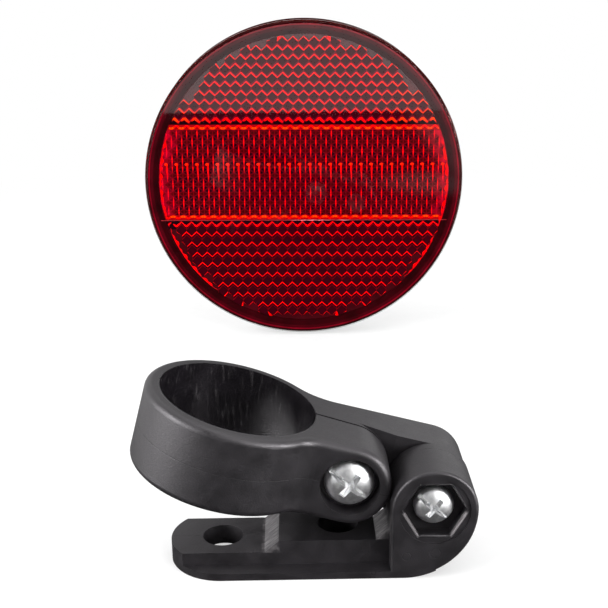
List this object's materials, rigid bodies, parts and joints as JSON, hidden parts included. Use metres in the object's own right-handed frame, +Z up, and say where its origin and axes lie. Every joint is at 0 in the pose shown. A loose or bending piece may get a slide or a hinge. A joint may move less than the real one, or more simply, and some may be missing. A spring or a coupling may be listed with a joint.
{
  "type": "bicycle rear reflector",
  "caption": "Round red prism reflector on a threaded stud, with the black seat post clamp bracket and swinging foot that carry it.",
  "frame": {"origin": "midway between the two fastening holes of the bracket's foot, on the foot's base", "axes": "+X along the foot towards the pivot, +Y from the viewer towards the reflector's back, +Z up"},
  "size_m": [0.0762, 0.142, 0.0768],
  "materials": {
    "black_nylon": "moulded nylon with a fine satin grain",
    "zinc_steel": "bright zinc plate",
    "red_lens": "clear red acrylic, polished front, prisms behind",
    "black_back": "smooth moulded black"
  },
  "bodies": {
    "foot_and_reflector": {"mounting_foot": "black_nylon", "pivot_screw": "zinc_steel", "reflector_lens": "red_lens", "reflector_back": "black_back", "mounting_stud": "zinc_steel", "stud_washer": "zinc_steel", "stud_nut": "zinc_steel"},
    "clamp_arm": {"seat_post_clamp": "black_nylon", "clamp_screw": "zinc_steel", "clamp_nut": "zinc_steel", "pivot_nut": "zinc_steel"}
  },
  "joints": [
    {"name": "clamp_pivot", "type": "hinge", "parent": "foot_and_reflector", "child": "clamp_arm", "pos_m": [0.024, 0, 0.0115], "axis": [0, 1, 0], "range_deg": [-10, 165]}
  ]
}
